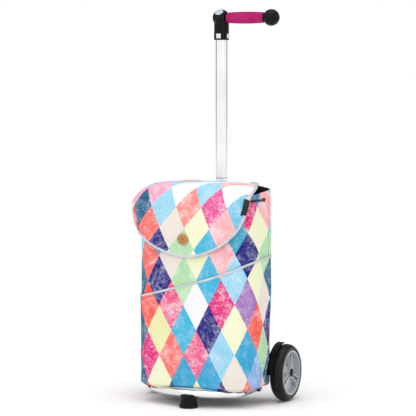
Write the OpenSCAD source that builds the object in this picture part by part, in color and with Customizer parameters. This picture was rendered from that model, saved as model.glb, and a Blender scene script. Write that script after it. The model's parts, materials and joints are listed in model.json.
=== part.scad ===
// One-handed shopping trolley: a single column on two wheels and a folding tray, with a fabric bag.
// The model stands on z = 0. The column is placed in Y so that the origin is the footprint's centre.

/* [Column] */
// Outer diameter of the column tube
tube_d = 30; // [29:0.5:30]
// Wall of the column tube
tube_wall = 1.5; // [1:0.25:2]
// Height of the ring where the lower and the upper tube meet
seam_z = 572; // [560:1:620]

/* [Head] */
// Height of the grip's axis
grip_z = 986; // [984:1:988]
// Radius of the round knuckle
knuckle_r = 22; // [21.5:0.5:23]
// How far the knuckle sits in front of the column's axis
knuckle_forward = 3; // [2:0.5:4]
// Outer diameter of the head's sleeve
sleeve_d = 38.5; // [38.5:0.5:40]
// Width of the square windows
window_w = 12; // [11:0.5:12.5]

/* [Grip] */
// Where the grip sleeve starts, from the column's axis
grip_start = 18.5; // [18:0.5:19]
// Length of the grip sleeve
grip_len = 101; // [95:1:120]
// Diameter at the grip's middle
grip_d = 30.8; // [29:0.1:33]
// How much the grip's radius drops towards its ends
grip_crown = 1.8; // [1:0.1:2.5]
// Number of lengthwise ribs
grip_ribs = 30; // [20:1:36]
// Diameter of the end ball
end_ball_d = 43; // [40:1:45]

/* [Wheels] */
// Diameter of a wheel over its tyre
wheel_d = 147; // [147:1:150]
// Width of a tyre
tyre_w = 34; // [32:1:34]
// Distance from the middle of the trolley to the middle of a wheel
wheel_x = 183; // [183:1:190]
// Diameter of the rim's outer ring
rim_d = 115; // [114:1:117]
// Number of forked spokes in a rim
spokes = 3; // [3:1:5]
// Diameter of a hub cap
hub_cap_d = 22; // [21:1:24]

/* [Tray] */
// Distance from the column's axis to the tray's front tube
tray_reach = 200; // [196:1:204]
// Half the distance between the tray's two arms
tray_half_w = 122; // [120:1:126]
// Diameter of the tray tube
tray_tube_d = 19; // [18:1:19]
// Height of the tray tube's axis
tray_z = 36.5; // [36:0.5:36.5]
// Radius of the tray's bowed front
bow_r = 191; // [180:1:240]
// Radius of the tray's two corners
corner_r = 30; // [26:1:40]
// Distance from the column's axis to the tray's hinge
hinge_reach = 50; // [48:1:54]

/* [Foot] */
// Diameter of the foot
foot_d = 42; // [40:0.5:44]
// Diameter of the pad under the foot
foot_pad_d = 47; // [45:1:49]

/* [Bag] */
// Width of the bag
bag_w = 320; // [300:1:330]
// Depth of the bag
bag_depth = 172; // [160:1:174]
// Height of the bag's bottom
bag_bottom_z = 46.5; // [46.5:0.5:48]
// Height of the bag's rim at its back
bag_top_z = 562.5; // [555:0.5:562.5]
// How far the bag's rim drops from back to front, per millimetre
rim_slope = 0.165; // [0.14:0.005:0.18]
// Radius of the bag's upright corners
bag_corner_r = 45; // [35:1:50]
// Thickness of the bag's padded wall
bag_wall = 3; // [2:0.5:3]
// Height of the pocket's seam at the middle of the front
pocket_z = 313; // [300:1:330]
// How far the pocket's seam climbs from left to right, per millimetre
pocket_slope = 0.2625; // [0:0.01:0.3]
// How far the pocket's seam climbs from front to back, per millimetre
pocket_side_slope = 0.1; // [0:0.01:0.15]

/* [Flap] */
// Half the width of the flap
flap_half_w = 170; // [166:1:174]
// How far the flap's middle lies to the right of the bag's middle
flap_x = -11; // [-14:1:0]
// Height of the lowest point of the flap
flap_low_z = 384; // [375:1:390]
// Height at which the flap's round lower edge begins
flap_round_z = 508; // [495:1:515]
// Inner radius of the fold between the flap's top and its front
flap_fold_r = 42; // [38:1:44]
// Distance from the column's axis to the inner face of the flap's front
flap_reach = 199.5; // [199:0.5:201]
// Width of the piping round the flap
piping_w = 5; // [4:0.5:6]
// Diameter of the round button on the flap
button_d = 30; // [26:1:34]
// How far the button lies to the right of the bag's middle
button_x = -11; // [-20:1:0]
// Height of the button
button_z = 428; // [415:1:430]

/* [Hidden] */
$fn = 96;

black = "#1c1c1e";
light_grey = "#d9dcdf";
steel = "#a9adb2";
nylon = "#e9e9e4";

tube_r = tube_d / 2;
tube_in_r = tube_r - tube_wall;
axle_z = wheel_d / 2;
axle_r = 5;
axle_tube_r = 11;
axle_end_x = wheel_x + 14;
run_gap = 0.05;     // radial clearance of a running fit
body_gap = 0.3;     // clearance between pieces that move apart
sleeve_gap = 0.8;   // groove between the head and the grip's sleeve

// The column's place in Y puts the footprint's centre on the origin.
column_y = (tray_reach + foot_pad_d / 2 - wheel_d / 2) / 2;

// Head: it turns on the pin's collar, and the latch ring's far edge stands under the collar.
tube_top_z = 931;
plug_len = 50;
pin_len_in_plug = 30;
sleeve_r = sleeve_d / 2;
sleeve_z = tube_top_z - 2;
chamber_z = tube_top_z + 1.5;
chamber_h = 14.5;
chamber_r = 17.5;
collar_r = 11;
collar_z = 946;
pin_r = 9;
pin_top_z = 966;
bush_r = 14;
sleeve_window_depth = 17.6;
window_z = chamber_z + 0.75 + window_w / 2;
latch_travel = 2;
latch_r = 15.2;
latch_hole_r = 11.8;
badge_r = 11;
badge_tilt = 40.5;
core_r = 9;
bolt_r = 4;
end_ball_x = grip_start + grip_len + 20.5;

// Wheel section, measured outwards from the wheel's middle plane.
seat_r = 55;
barrel_t = 2;
flange_in = 13.5;
flange_out = 16.5;
hub_r = 14;
hub_half = 16;
bearing_r = 9.5;
guard_r = wheel_d / 2 + 3;
guard_wall = 2.5;
guard_x = wheel_x - 20.5;
guard_w = 18;
guard_rim_t = 2.5;
guard_boss_r = 15;
guard_boss_out = 1.5;
bracket_x = 98;
bracket_w = 12;
hinge_pin_r = 4;
eye_r = tray_tube_d / 2 - 0.1;

// Tray: the corner arcs are tangent to the arms and to the bowed front.
tray_r = tray_tube_d / 2;
bow_y = bow_r - tray_reach;
corner_x = tray_half_w - corner_r;
corner_y = bow_y - sqrt(pow(bow_r - corner_r, 2) - pow(corner_x, 2));
corner_angle = atan2(corner_y - bow_y, corner_x);
arm_back_y = -hinge_reach - 12;
tray_wall = 1.5;
tray_sides = 24;
foot_pad_h = 9;
foot_top_z = 31;
foot_screw_r = 2.5;
foot_screw_head_r = 6;

// Bag: its back hangs just in front of the column.
bag_back_y = -tube_r - 2.5;
bag_mid_y = bag_back_y - bag_depth / 2;
bag_front_y = bag_back_y - bag_depth;
pocket_tilt_y = -atan(pocket_slope);
pocket_tilt_x = atan(pocket_side_slope * cos(pocket_tilt_y));
plan_x = bag_w / 2 - bag_corner_r;
plan_front_y = bag_front_y + bag_corner_r;
plan_back_y = bag_back_y - bag_corner_r;
cord_r = 2.5;
cord_z = 526;
cord_inset = bag_wall + cord_r + 0.2;
cord_outset = cord_r + 0.2;
side_eyelet_y = -97;
corner_eyelet_turn = -30;
eyelet_in_r = 3;
eyelet_tube_r = 4;
eyelet_r = 6.5;
strap_zs = [165, 536];
strap_h = 22;
strap_t = 1.8;
snap_r = 6;
base_screw_zs = [axle_z + 44, axle_z + 66];
base_screw_r = 2.5;
base_screw_head_r = 4.5;

flap_t = 3;
flap_z = 564;
flap_hinge_y = -22;
flap_front_y = -flap_reach - flap_t;
flap_right_x = flap_x + flap_half_w;
welt_r = 2.5;
piping_proud = 0.8;
label_w = 15;
label_h = 36;
stud_r = 8;

module at_column() { translate([0, column_y, 0]) children(); }

// A flat shape drawn in x and y, swept along X. Round shapes only need their centre moved.
module along_x(x0, x1) { translate([x0, 0, 0]) rotate([0, 90, 0]) linear_extrude(x1 - x0) children(); }

// A flat shape drawn as (y, z), swept along X from x0 to x1.
module plate_yz(x0, x1) { translate([x0, 0, 0]) rotate([90, 0, 90]) linear_extrude(x1 - x0) children(); }

// A flat shape drawn as (x, z), swept along Y from y0 to y1.
module plate_xz(y0, y1) { translate([0, y1, 0]) rotate([90, 0, 0]) linear_extrude(y1 - y0) children(); }

module ring(r_out, r_in) { difference() { circle(r_out); circle(r_in); } }

module pipe(r_out, r_in, z0, z1) { translate([0, 0, z0]) linear_extrude(z1 - z0) ring(r_out, r_in); }

module rounded_plan(w, d, r) {
    square([w, d - 2 * r], center = true);
    square([w - 2 * r, d], center = true);
    for (sx = [-1, 1], sy = [-1, 1])
        translate([sx * (w / 2 - r), sy * (d / 2 - r)]) circle(r);
}

// ---------- column ----------
module lower_tube() {
    color(light_grey) at_column() difference() {
        pipe(tube_r, tube_in_r, axle_z + axle_tube_r + 7, seam_z - 1);
        base_screw_shanks();
    }
}

module upper_tube() { color(light_grey) at_column() pipe(tube_r, tube_in_r, seam_z + 1, tube_top_z); }

module tube_joiner() {
    color("#8d9196") at_column() {
        pipe(tube_in_r, tube_in_r - 2, seam_z - 70, seam_z + 70);
        pipe(tube_r, tube_in_r - 1, seam_z - 1, seam_z + 1);
    }
}

module column_plug() {
    color(steel) at_column() difference() {
        translate([0, 0, tube_top_z - plug_len]) cylinder(r = tube_in_r, h = plug_len);
        translate([0, 0, tube_top_z - pin_len_in_plug]) cylinder(r = pin_r, h = plug_len);
    }
}

module swivel_pin() {
    color(steel) at_column() translate([0, 0, tube_top_z - pin_len_in_plug])
        cylinder(r = pin_r, h = pin_top_z - tube_top_z + pin_len_in_plug);
}

module pin_collar() { color(steel) at_column() pipe(collar_r, pin_r, collar_z, pin_top_z); }

// ---------- head ----------
module badge_axis() {
    translate([0, -knuckle_forward, grip_z]) rotate([badge_tilt, 0, 0]) children();
}

module window_cut(side_w, depth_from) {
    translate([-side_w / 2, -sleeve_r - 1, window_z - side_w / 2])
        cube([side_w, sleeve_r + 1 - depth_from, side_w]);
}

module head_housing() {
    color(black) at_column() difference() {
        union() {
            translate([0, 0, sleeve_z]) cylinder(r = sleeve_r, h = grip_z - sleeve_z - 6);
            intersection() {
                translate([0, -knuckle_forward, grip_z]) sphere(knuckle_r);
                translate([-50, -50, grip_z - 50]) cube([50 + grip_start - 3, 100, 100]);
            }
            translate([0, 0, grip_z]) along_x(2, grip_start - sleeve_gap) circle(13.2);
        }
        translate([0, 0, sleeve_z - 1]) cylinder(r = tube_r + run_gap, h = chamber_z - sleeve_z + 2);
        translate([0, 0, chamber_z]) cylinder(r = chamber_r, h = chamber_h);
        translate([0, 0, chamber_z]) cylinder(r = bush_r, h = pin_top_z + 3 - chamber_z);
        window_cut(window_w + 2 * body_gap, 12);
        for (turn = [90, 180, 270]) rotate([0, 0, turn]) window_cut(window_w, sleeve_window_depth);
        for (turn = [0, 90, 180, 270]) rotate([0, 0, turn])
            translate([-6, -sleeve_r - 1, window_z + window_w / 2 + 1]) cube([12, 1.6, 3.5]);
        translate([0, 0, grip_z]) along_x(4, grip_start + 1) circle(core_r);
        translate([0, 0, grip_z]) along_x(grip_start - sleeve_gap, grip_start + 5)
            circle(grip_d / 2 + sleeve_gap);
        badge_axis() translate([0, 0, knuckle_r - 3.6]) cylinder(r = badge_r, h = 10);
    }
}

module head_bush() {
    color(nylon) at_column() pipe(bush_r, collar_r + run_gap, chamber_z + chamber_h + 0.5, pin_top_z);
}

module thrust_washer() { color(nylon) at_column() pipe(bush_r, 4, pin_top_z + run_gap, pin_top_z + 3); }

module head_badge() {
    color("#dfe3ea") at_column() badge_axis() intersection() {
        translate([0, 0, knuckle_r - 3.6]) cylinder(r = badge_r, h = 4.6);
        translate([0, 0, knuckle_r - 40]) sphere(39.4);
    }
}

module index_windows() {
    color(light_grey) at_column() for (turn = [90, 180, 270]) rotate([0, 0, turn])
        translate([-window_w / 2, -sleeve_r - 0.3, window_z - window_w / 2])
            cube([window_w, sleeve_r + 0.3 - sleeve_window_depth, window_w]);
}

// The ring's far edge stands under the collar, so the head can't lift off, until the button is pressed.
module latch_ring() {
    ring_h = 9;
    color(light_grey) at_column() {
        translate([0, 0, window_z - ring_h / 2]) linear_extrude(ring_h) difference() {
            circle(latch_r);
            translate([0, -latch_travel]) circle(latch_hole_r);
        }
        difference() {
            translate([-window_w / 2, -sleeve_r - 0.6, window_z - window_w / 2])
                cube([window_w, sleeve_r + 0.6 - 14, window_w]);
            translate([-4, -sleeve_r - 1.6, window_z - 0.6]) cube([8, 1.4, 1.2]);
        }
    }
}

module latch_spring() {
    color(steel) at_column() translate([0, 0, window_z - 3]) linear_extrude(6) intersection() {
        ring(16.2, 15.5);
        polygon([[0, 0], [-18, 16], [0, 24], [18, 16]]);
    }
}

// ---------- grip ----------
module grip_axis() { at_column() translate([0, 0, grip_z]) children(); }

module grip_core() {
    color(steel) grip_axis() difference() {
        along_x(4, grip_start + grip_len + 8) circle(core_r);
        along_x(grip_start + grip_len - 30, grip_start + grip_len + 9) circle(bolt_r);
    }
}

// The section of a barrel between x0 and x1, with its crown at the grip's middle.
module barrel(extra, x0, x1) {
    crown_r = (pow(grip_len / 2, 2) + pow(grip_crown, 2)) / (2 * grip_crown);
    rotate([0, 90, 0]) rotate_extrude() intersection() {
        translate([core_r, x0]) square([20, x1 - x0]);
        translate([grip_d / 2 + extra - crown_r, grip_start + grip_len / 2]) circle(crown_r, $fn = 360);
    }
}

module grip_sleeve() {
    color("#c81e73") grip_axis() {
        barrel(-0.5, grip_start, grip_start + grip_len);
        intersection() {
            barrel(0, grip_start + 7, grip_start + grip_len - 17);
            for (i = [0 : grip_ribs - 1]) rotate([360 * i / grip_ribs, 0, 0])
                translate([grip_start, -0.95, core_r + 1]) cube([grip_len, 1.9, 10]);
        }
        for (x = [0, 4.5, 9]) barrel(0.1, grip_start + grip_len - 14 + x, grip_start + grip_len - 11.6 + x);
        barrel(0, grip_start, grip_start + 4);
    }
}

module end_ball() {
    color(black) grip_axis() difference() {
        union() {
            translate([end_ball_x, 0, 0]) sphere(end_ball_d / 2);
            along_x(grip_start + grip_len, end_ball_x) circle(12.5);
        }
        along_x(grip_start + grip_len - 1, grip_start + grip_len + 8) circle(core_r);
        along_x(grip_start + grip_len, end_ball_x + 6) circle(bolt_r);
    }
}

module grip_bolt() {
    color(steel) grip_axis() along_x(grip_start + grip_len - 29, end_ball_x + 6) circle(bolt_r);
}

// ---------- base and axle ----------
module at_axle() { at_column() translate([0, 0, axle_z]) children(); }

module base_screw_shanks() {
    for (z = base_screw_zs) translate([0, 0, z]) along_x(-23, 23) circle(base_screw_r);
}

module base_screw_heads() {
    for (z = base_screw_zs, x = [-24, 21]) translate([0, 0, z]) along_x(x, x + 3) circle(base_screw_head_r);
}

module base_screws() {
    color(steel) at_column() {
        base_screw_shanks();
        base_screw_heads();
    }
}

module base_block() {
    color(black) at_column() difference() {
        union() {
            translate([0, 0, axle_z - 22]) cylinder(r = 17.3, h = 102);
            translate([0, 0, axle_z - 22]) linear_extrude(102) translate([-23, -10]) square([46, 20]);
            translate([0, 0, axle_z]) along_x(-42, 42) circle(17);
        }
        translate([0, 0, axle_z + axle_tube_r + 7]) cylinder(r = tube_r, h = 120);
        translate([0, 0, axle_z]) along_x(-43, 43) circle(axle_tube_r);
        base_screw_shanks();
        base_screw_heads();
    }
}

module axle_tube() {
    color(light_grey) at_axle() along_x(-guard_x + 2, guard_x - 2) ring(axle_tube_r, axle_r + 0.5);
}

module axle() { color(steel) at_axle() along_x(-axle_end_x, axle_end_x) circle(axle_r); }

module axle_washers() {
    color(nylon) at_axle() for (s = [-1, 1]) mirror([s < 0 ? 1 : 0, 0, 0])
        along_x(guard_x + guard_wall + guard_boss_out, wheel_x - 14 - 0.2) ring(7.5, axle_r);
}

module axle_clips() {
    color(steel) at_axle() for (s = [-1, 1]) mirror([s < 0 ? 1 : 0, 0, 0])
        along_x(wheel_x + 11.3, wheel_x + 12.6) ring(7.4, axle_r);
}

// ---------- wheels ----------
// The wheel's own axis is z, which points outwards.
module at_wheel(side) { at_axle() translate([side * wheel_x, 0, 0]) rotate([0, side * 90, 0]) children(); }

module tyre(side) {
    crown_r = 22;
    color("#26262a") at_wheel(side) rotate_extrude() difference() {
        intersection() {
            translate([seat_r, -tyre_w / 2]) square([wheel_d / 2 - seat_r + 1, tyre_w]);
            translate([wheel_d / 2 - crown_r, 0]) circle(crown_r);
        }
        for (s = [-1, 1]) {
            translate([seat_r - 1, s > 0 ? flange_in : -20])
                square([rim_d / 2 - seat_r + 1, 20 - flange_in]);
            translate([wheel_d / 2 - 0.9, s * 6 - 0.6]) square([5, 1.2]);
        }
    }
}

// Two ribs that open out from the hub to the ring.
module spoke_ribs(height) {
    linear_extrude(height, center = true) for (s = [-1, 1])
        polygon([[hub_r - 2, s * 2], [hub_r - 2, s * 4.6], [seat_r - 1, s * 9.6], [seat_r - 1, s * 7]]);
}

module rim(side) {
    turn = side > 0 ? 180 : 0;
    color("#c9ccd0") at_wheel(side) difference() {
        union() {
            rotate_extrude() {
                translate([seat_r - barrel_t, -flange_out]) square([barrel_t, 2 * flange_out]);
                for (z = [-flange_out, flange_in])
                    translate([seat_r - 1, z]) square([rim_d / 2 - seat_r + 1, flange_out - flange_in]);
            }
            cylinder(r = seat_r - 1, h = 5, center = true);
            cylinder(r = hub_r, h = 2 * hub_half, center = true);
            for (i = [0 : spokes - 1]) rotate([0, 0, turn + 360 * i / spokes]) spoke_ribs(27);
            for (i = [0 : spokes - 1]) rotate([0, 0, turn + 360 * (i + 0.5) / spokes])
                linear_extrude(13, center = true) polygon([[8, -12], [8, 12], [27, 10], [27, -10]]);
        }
        cylinder(r = bearing_r, h = 40, center = true);
        for (i = [0 : spokes - 1]) rotate([0, 0, turn + 360 * i / spokes])
            linear_extrude(30, center = true)
                polygon([[20, -1.2], [20, 1.2], [seat_r - 3.5, 6.4], [seat_r - 3.5, -6.4]]);
    }
}

module bearings(side) {
    color(steel) at_wheel(side) {
        pipe(bearing_r, axle_r + run_gap, -14, -9);
        pipe(bearing_r, axle_r + run_gap, 6, 11);
    }
}

module spacer(side) { color(nylon) at_wheel(side) pipe(7, axle_r + run_gap, -9, 6); }

module hub_cap(side) {
    color(black) at_wheel(side) {
        pipe(bearing_r, 8, 12, 17);
        translate([0, 0, hub_half]) difference() {
            intersection() {
                cylinder(r = hub_cap_d / 2, h = 3.5);
                translate([0, 0, 3.5 - 30]) sphere(30);
            }
            translate([0, 0, -1]) cylinder(r = 8, h = 2);
        }
    }
}

// A side plate with a rim over the inner part of the tyre, from near the top to the front.
module guard(side) {
    from = 182;
    to = 268;
    reach = 2 * guard_r;
    color(black) at_axle() mirror([side < 0 ? 1 : 0, 0, 0]) difference() {
        union() {
            intersection() {
                union() {
                    along_x(guard_x, guard_x + guard_wall) circle(guard_r + guard_rim_t);
                    along_x(guard_x, guard_x + guard_w) ring(guard_r + guard_rim_t, guard_r);
                }
                along_x(guard_x - 1, guard_x + guard_w + 1)
                    polygon([[0, 0], for (i = [0 : 6]) reach * [cos(from + i * (to - from) / 6),
                                                               sin(from + i * (to - from) / 6)]]);
            }
            along_x(guard_x - 2, guard_x + guard_wall + guard_boss_out) circle(guard_boss_r);
        }
        along_x(guard_x - 3, guard_x + guard_wall + 3) circle(axle_r);
    }
}

// ---------- tray ----------
module bracket(side) {
    color(black) at_column() mirror([side < 0 ? 1 : 0, 0, 0]) plate_yz(bracket_x, bracket_x + bracket_w)
        difference() {
            union() {
                translate([0, axle_z]) circle(17);
                translate([-12, tray_z - eye_r]) square([24, axle_z - tray_z + eye_r]);
                translate([-hinge_reach, tray_z - eye_r]) square([hinge_reach, 2 * eye_r]);
                translate([-hinge_reach, tray_z]) circle(eye_r);
            }
            translate([0, axle_z]) circle(axle_tube_r);
            translate([-hinge_reach, tray_z]) circle(hinge_pin_r);
        }
}

module hinge_pins() {
    color(steel) at_column() translate([0, -hinge_reach, tray_z])
        for (s = [0, 1]) mirror([s, 0, 0]) {
            along_x(bracket_x, tray_half_w + tray_r) circle(hinge_pin_r);
            along_x(bracket_x - 3, bracket_x) circle(7);
            along_x(tray_half_w + tray_r + body_gap, tray_half_w + tray_r + 3) circle(7);
            along_x(tray_half_w + tray_r - 1, tray_half_w + tray_r + 1) circle(hinge_pin_r);
        }
}

module bow() {
    translate([0, bow_y, tray_z]) rotate([0, 0, -180 - corner_angle])
        rotate_extrude(angle = 180 + 2 * corner_angle) translate([bow_r, 0]) children();
}

// The tray's route from the right arm round to the left: each entry is x, y and the outward direction.
function arc_steps(centre, r, from, to, n) =
    [for (i = [0 : n]) let (a = from + (to - from) * i / n)
        [centre[0] + r * cos(a), centre[1] + r * sin(a), a]];
tray_route = concat(
    [[tray_half_w, arm_back_y, 0]],
    arc_steps([corner_x, corner_y], corner_r, 0, corner_angle, 6),
    arc_steps([0, bow_y], bow_r, corner_angle - 2, -178 - corner_angle, 16),
    arc_steps([-corner_x, corner_y], corner_r, -180 - corner_angle, -180, 6),
    [[-tray_half_w, arm_back_y, -180]]
);

// A round tube swept along the route: an outer and an inner skin, closed by a ring at each end.
module tray_tube() {
    sides = tray_sides;
    rings = len(tray_route);
    skins = [tray_r, tray_r - tray_wall];
    points = [for (r = skins, p = tray_route, j = [0 : sides - 1]) let (b = 360 * j / sides)
        [p[0] + r * cos(b) * cos(p[2]), p[1] + r * cos(b) * sin(p[2]), tray_z + r * sin(b)]];
    inner = rings * sides;
    last = (rings - 1) * sides;
    faces = [for (i = [0 : rings - 2], j = [0 : sides - 1])
        let (a = i * sides + j, b = i * sides + (j + 1) % sides, c = b + sides, d = a + sides)
        each [[a, b, c, d], [inner + d, inner + c, inner + b, inner + a]]];
    ends = [for (j = [0 : sides - 1]) let (k = (j + 1) % sides)
        each [[k, j, inner + j, inner + k], [last + j, last + k, inner + last + k, inner + last + j]]];
    color(light_grey) at_column() polyhedron(points, concat(faces, ends), convexity = 6);
}

module tray_end(side) {
    color(black) at_column() mirror([side < 0 ? 1 : 0, 0, 0]) difference() {
        union() {
            translate([tray_half_w, arm_back_y, tray_z]) rotate([-90, 0, 0])
                cylinder(r = tray_r, h = -hinge_reach - arm_back_y);
            translate([tray_half_w, arm_back_y - 26, tray_z]) rotate([-90, 0, 0])
                cylinder(r = (tray_r - tray_wall) * cos(180 / tray_sides) - run_gap, h = 27);
            plate_yz(tray_half_w - tray_r, tray_half_w + tray_r)
                translate([-hinge_reach, tray_z]) circle(eye_r);
        }
        plate_yz(tray_half_w - 20, tray_half_w + 20)
            translate([-hinge_reach, tray_z]) circle(hinge_pin_r + run_gap);
    }
}

// ---------- foot ----------
module foot_housing() {
    color(black) at_column() difference() {
        translate([0, -tray_reach, foot_pad_h]) cylinder(d = foot_d, h = foot_top_z - foot_pad_h);
        bow() circle(tray_r);
        translate([0, -tray_reach, foot_pad_h - 1]) cylinder(r = foot_screw_r, h = 40);
        translate([0, -tray_reach, foot_pad_h - 1]) cylinder(r = foot_screw_head_r, h = 5);
    }
}

module foot_pad() {
    color("#202022") at_column() translate([0, -tray_reach, 0]) {
        cylinder(d1 = foot_pad_d - 3, d2 = foot_pad_d, h = 1.5);
        translate([0, 0, 1.5]) cylinder(d = foot_pad_d, h = foot_pad_h - 3);
        translate([0, 0, foot_pad_h - 1.5]) cylinder(d1 = foot_pad_d, d2 = foot_pad_d - 3, h = 1.5);
    }
}

module foot_screw() {
    color(steel) at_column() translate([0, -tray_reach, foot_pad_h]) {
        cylinder(r = foot_screw_head_r, h = 4);
        cylinder(r = foot_screw_r, h = tray_z - tray_r + 5 - foot_pad_h);
    }
}

// ---------- bag ----------
// The bag's plan, grown or shrunk by the given amount.
module bag_plan(grow) {
    translate([0, bag_mid_y]) rounded_plan(bag_w + 2 * grow, bag_depth + 2 * grow, bag_corner_r + grow);
}

// A half space under the pocket's sloping seam, raised by the given amount.
module under_seam(raise) {
    translate([0, bag_front_y, pocket_z + raise]) rotate([pocket_tilt_x, pocket_tilt_y, 0])
        translate([-400, -400, -600]) cube([800, 800, 600]);
}

// The space above the rim, which slopes down from the back to the front.
module above_rim() {
    translate([0, bag_back_y, bag_top_z]) rotate([atan(rim_slope), 0, 0])
        translate([-400, -400, 0]) cube([800, 800, 200]);
}

module bag_shell() {
    color("#7cc4dd") at_column() difference() {
        translate([0, 0, bag_bottom_z]) linear_extrude(bag_top_z - bag_bottom_z + 2) bag_plan(0);
        translate([0, 0, bag_bottom_z + bag_wall]) linear_extrude(600) bag_plan(-bag_wall);
        above_rim();
        at_eyelets() along_x(-10, 10) circle(eyelet_tube_r);
    }
}

module base_board() {
    color("#4a4038") at_column() translate([0, 0, bag_bottom_z + bag_wall])
        linear_extrude(4) bag_plan(-bag_wall - 1);
}

// The front and the sides, but not the back.
module front_region() { translate([-300, bag_front_y - 20, 0]) cube([600, bag_depth - 15, 700]); }

// The pocket stops short of the wheel guards.
module beside_guards() {
    translate([-300, -guard_r - 8, 0]) cube([600, guard_r + 8, axle_z + guard_r + 8]);
}

module pocket_panel() {
    color("#f06f86") at_column() difference() {
        intersection() {
            translate([0, 0, bag_bottom_z]) linear_extrude(500)
                difference() { bag_plan(1.6); bag_plan(0.1); }
            under_seam(-piping_w / 2);
            front_region();
        }
        beside_guards();
    }
}

module pocket_piping() {
    color("#d5dade") at_column() intersection() {
        translate([0, 0, bag_bottom_z]) linear_extrude(500) difference() { bag_plan(3); bag_plan(0.1); }
        difference() { under_seam(piping_w / 2); under_seam(-piping_w / 2); }
        front_region();
    }
}

// The two eyelets: one on the right side and one round the front corner.
module at_eyelets() {
    translate([bag_w / 2, side_eyelet_y, cord_z]) children();
    translate([plan_x, plan_front_y, cord_z]) rotate([0, 0, corner_eyelet_turn])
        translate([bag_corner_r, 0, 0]) children();
}

// The drawstring's route in plan: round the hem inside the bag, and outside from eyelet to eyelet.
function corner_arc(x, y, r, from, to, n) =
    [for (i = [0 : n]) let (a = from + (to - from) * i / n) [x + r * cos(a), y + r * sin(a)]];
cord_route = let (r_in = bag_corner_r - cord_inset, r_out = bag_corner_r + cord_outset) concat(
    [[bag_w / 2 + cord_outset, side_eyelet_y], [bag_w / 2 - cord_inset, side_eyelet_y]],
    corner_arc(plan_x, plan_back_y, r_in, 0, 90, 6),
    corner_arc(-plan_x, plan_back_y, r_in, 90, 180, 6),
    corner_arc(-plan_x, plan_front_y, r_in, 180, 270, 6),
    corner_arc(plan_x, plan_front_y, r_in, -90, corner_eyelet_turn, 5),
    corner_arc(plan_x, plan_front_y, r_out, corner_eyelet_turn, 0, 3)
);

// Each ring stands in the plane that halves the turn at its point.
module drawstring() {
    sides = 10;
    n = len(cord_route);
    points = [for (i = [0 : n - 1])
        let (
            p = cord_route[i],
            before = p - cord_route[(i + n - 1) % n],
            after = cord_route[(i + 1) % n] - p,
            along = before / norm(before) + after / norm(after),
            t = along / norm(along),
            widen = cord_r / (t * after / norm(after))
        )
        for (j = [0 : sides - 1]) let (b = 360 * j / sides)
            [p[0] + widen * cos(b) * t[1], p[1] - widen * cos(b) * t[0], cord_z + cord_r * sin(b)]];
    faces = [for (i = [0 : n - 1], j = [0 : sides - 1])
        let (a = i * sides + j, b = i * sides + (j + 1) % sides, next = ((i + 1) % n) * sides)
        [a, b, next + (j + 1) % sides, next + j]];
    color("#151517") at_column() polyhedron(points, faces, convexity = 6);
}

module eyelets() {
    color("#3a3a3e") at_column() at_eyelets() {
        along_x(-bag_wall, 0) ring(eyelet_tube_r, eyelet_in_r);
        along_x(0, 0.6) ring(eyelet_r, eyelet_in_r);
    }
}

module hanger_straps() {
    color(black) at_column() for (z = strap_zs) difference() {
        union() {
            pipe(tube_r + strap_t, tube_r, z, z + strap_h);
            translate([-9, tube_r - 2, z]) cube([18, 5, strap_h]);
        }
        translate([0, 0, z - 1]) cylinder(r = tube_r, h = strap_h + 2);
    }
}

module strap_snaps() {
    color(steel) at_column() for (z = strap_zs) plate_xz(tube_r + 3, tube_r + 5.5)
        translate([0, z + strap_h / 2]) circle(snap_r);
}

module stud_post() {
    color(steel) at_column() {
        plate_xz(bag_front_y - 4, bag_front_y - 0.1) translate([button_x, button_z]) circle(stud_r);
        plate_xz(bag_front_y - 7, bag_front_y - 4) translate([button_x, button_z]) circle(3);
    }
}

// ---------- flap ----------
// The flap seen from the front, drawn as (x, z) and drawn in from its edge by the given amount.
module flap_outline(inset) {
    w = flap_half_w - inset;
    drop = flap_round_z - flap_low_z - inset;
    translate([flap_x, 0]) polygon([
        [w, flap_z + 10],
        for (a = [0 : 5 : 180]) [w * cos(a), flap_round_z - drop * sin(a)],
        [-w, flap_z + 10]
    ]);
}

// The space under a surface that runs forward over the bag and folds down in front of it, drawn as (y, z).
module flap_side(proud) {
    r = flap_fold_r + proud;
    translate([-flap_reach - proud, 0]) square([flap_reach + proud + flap_hinge_y, flap_z + proud - r]);
    translate([-flap_reach + flap_fold_r, 0])
        square([flap_reach - flap_fold_r + flap_hinge_y, flap_z + proud]);
    translate([-flap_reach + flap_fold_r, flap_z - flap_fold_r]) circle(r);
}

// A bent sheet between two such surfaces, trimmed by the shapes given to it as children.
module bent_sheet(inner, outer) {
    intersection() {
        plate_yz(-flap_half_w + flap_x, flap_right_x) difference() {
            flap_side(outer);
            flap_side(inner);
            translate([flap_hinge_y, 0]) square([400, 800]);
        }
        plate_xz(-flap_reach - 20, flap_hinge_y + 1) children();
    }
}

// The back edge is rolled into a round welt, on whose line the flap turns.
module bag_flap() {
    color("#bfe3ee") at_column() {
        bent_sheet(0, flap_t) flap_outline(piping_w);
        translate([0, flap_hinge_y, flap_z + flap_t / 2])
            along_x(flap_x - flap_half_w + piping_w, flap_right_x - piping_w) circle(welt_r);
    }
}

module flap_piping() {
    color("#d5dade") at_column() bent_sheet(-piping_proud, flap_t + piping_proud) difference() {
        flap_outline(0);
        flap_outline(piping_w);
    }
}

module label_tab() {
    color("#202024") at_column() plate_xz(flap_front_y - 1.4 - piping_proud, flap_front_y - piping_proud)
        translate([flap_right_x - label_w + 1, flap_z - flap_fold_r - label_h]) square([label_w, label_h]);
}

module wood_button() {
    color("#b98243") at_column() plate_xz(flap_front_y - 6, flap_front_y)
        translate([button_x, button_z]) circle(d = button_d);
}

module stud_cap() {
    color(steel) at_column() plate_xz(-flap_reach, -flap_reach + 2.4)
        translate([button_x, button_z]) ring(stud_r, 3.6);
}

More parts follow.
